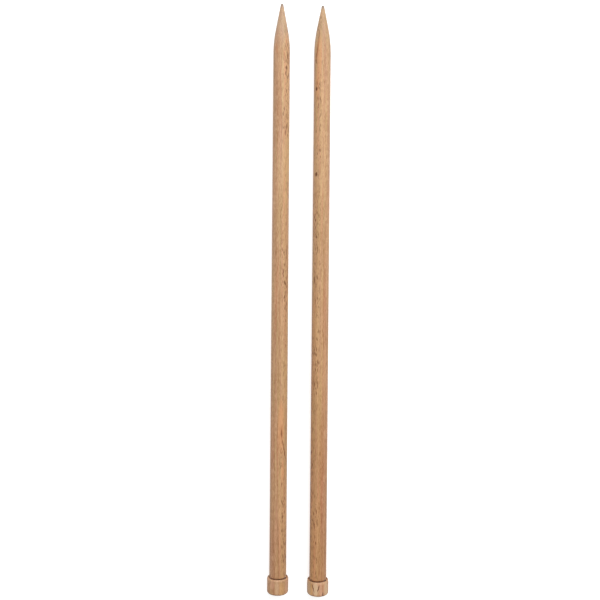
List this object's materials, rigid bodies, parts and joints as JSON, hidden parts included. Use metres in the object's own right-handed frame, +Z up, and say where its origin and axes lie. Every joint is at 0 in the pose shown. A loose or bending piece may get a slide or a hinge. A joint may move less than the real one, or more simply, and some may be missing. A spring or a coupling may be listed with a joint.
{
  "type": "straight knitting needles",
  "caption": "Pair of straight wooden knitting needles: plain round shafts, each with a long tapered point at one end and a glued-on stopper cap at the other.",
  "frame": {"origin": "on the table, under the middle of the pair of needles as they lie side by side", "axes": "+Y along the pair from the caps to the points, +X from the left needle to the right one, +Z up from the table"},
  "size_m": [0.036, 0.3504, 0.0125],
  "materials": {
    "beech_shaft": "turned and sanded beech with ray flecks, thin satin wax",
    "beech_cap": "turned and sanded beech, a little paler than the shaft, thin satin wax",
    "cured_glue": "dried wood glue, amber brown"
  },
  "bodies": {
    "needle_left": {"left_shaft": "beech_shaft", "left_cap": "beech_cap", "left_cap_glue": "cured_glue"},
    "needle_right": {"right_shaft": "beech_shaft", "right_cap": "beech_cap", "right_cap_glue": "cured_glue"}
  },
  "joints": [
    {"name": "needle_right_lift", "type": "slide", "parent": "needle_left", "child": "needle_right", "axis": [0, 0, 1], "range_m": [0, 0.06]}
  ]
}
